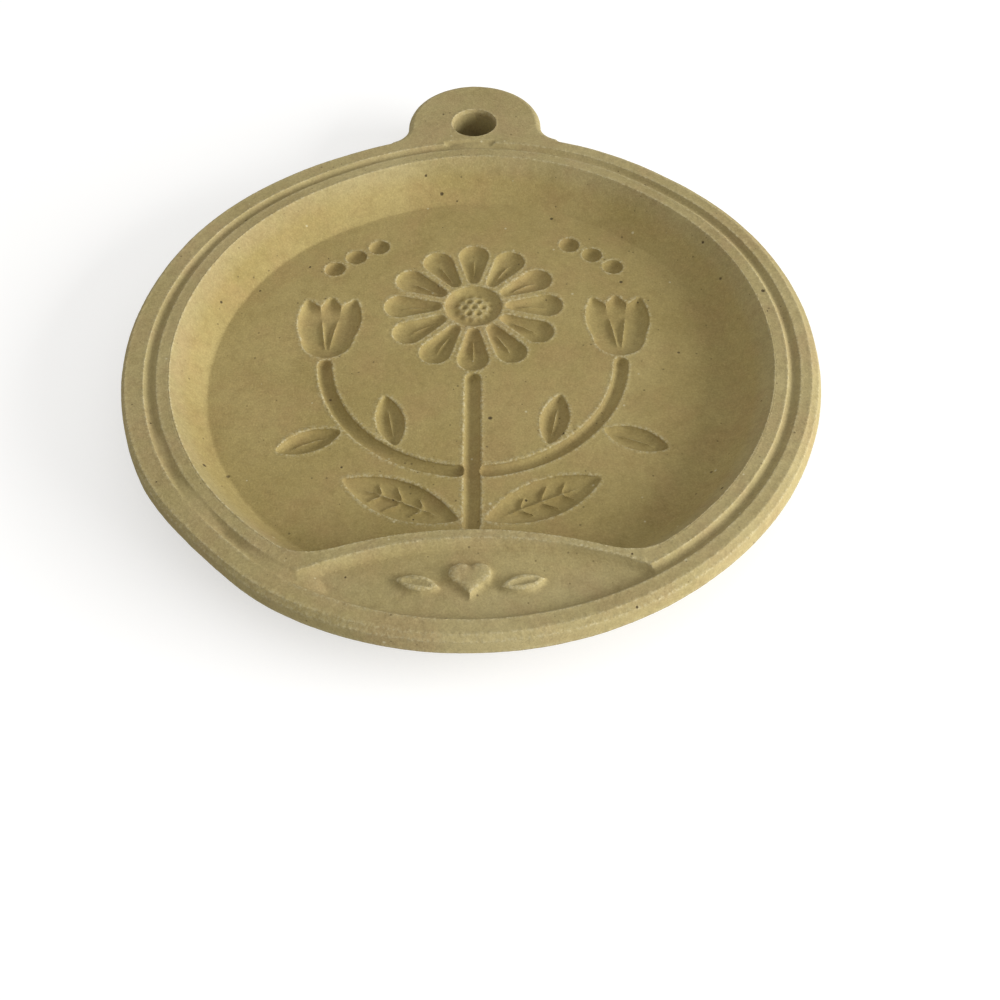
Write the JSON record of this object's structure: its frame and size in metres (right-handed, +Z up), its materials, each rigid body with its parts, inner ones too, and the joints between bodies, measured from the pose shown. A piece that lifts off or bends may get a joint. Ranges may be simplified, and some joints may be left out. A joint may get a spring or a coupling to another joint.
{
  "type": "cookie mould",
  "caption": "Round unglazed stoneware cookie mould with a shallow bowl, a sunken flower picture, a small lower panel, a grooved rim and a drilled hanging lug.",
  "frame": {"origin": "centre of the round body on its flat back, which lies on the table", "axes": "+Z up out of the face, +Y from the centre towards the hanging lug, +X to the right seen from the face"},
  "size_m": [0.151, 0.1712, 0.014],
  "materials": {
    "stoneware_face": "unglazed buff stoneware, matte, fine grain with small dark pits",
    "stoneware_relief": "unglazed buff stoneware, matte, a little dirt in the corners of the relief",
    "stoneware_back": "unglazed buff stoneware, matte, lightly scraped flat"
  },
  "bodies": {
    "root": {"base_slab": "stoneware_back", "outer_rim": "stoneware_face", "inner_lip": "stoneware_face", "bowl_wall": "stoneware_face", "divider_ridge": "stoneware_face", "lower_panel": "stoneware_face", "hanging_lug": "stoneware_face", "picture_field": "stoneware_face", "flower_button": "stoneware_relief", "flower_petals": "stoneware_relief", "main_stem": "stoneware_relief", "side_stem_left": "stoneware_relief", "side_stem_right": "stoneware_relief", "tulip_left": "stoneware_relief", "tulip_right": "stoneware_relief", "large_leaf_left": "stoneware_relief", "large_leaf_right": "stoneware_relief", "small_leaves_left": "stoneware_relief", "small_leaves_right": "stoneware_relief", "berries_left": "stoneware_relief", "berries_right": "stoneware_relief", "panel_heart": "stoneware_relief", "panel_leaf_left": "stoneware_relief", "panel_leaf_right": "stoneware_relief"}
  },
  "joints": []
}
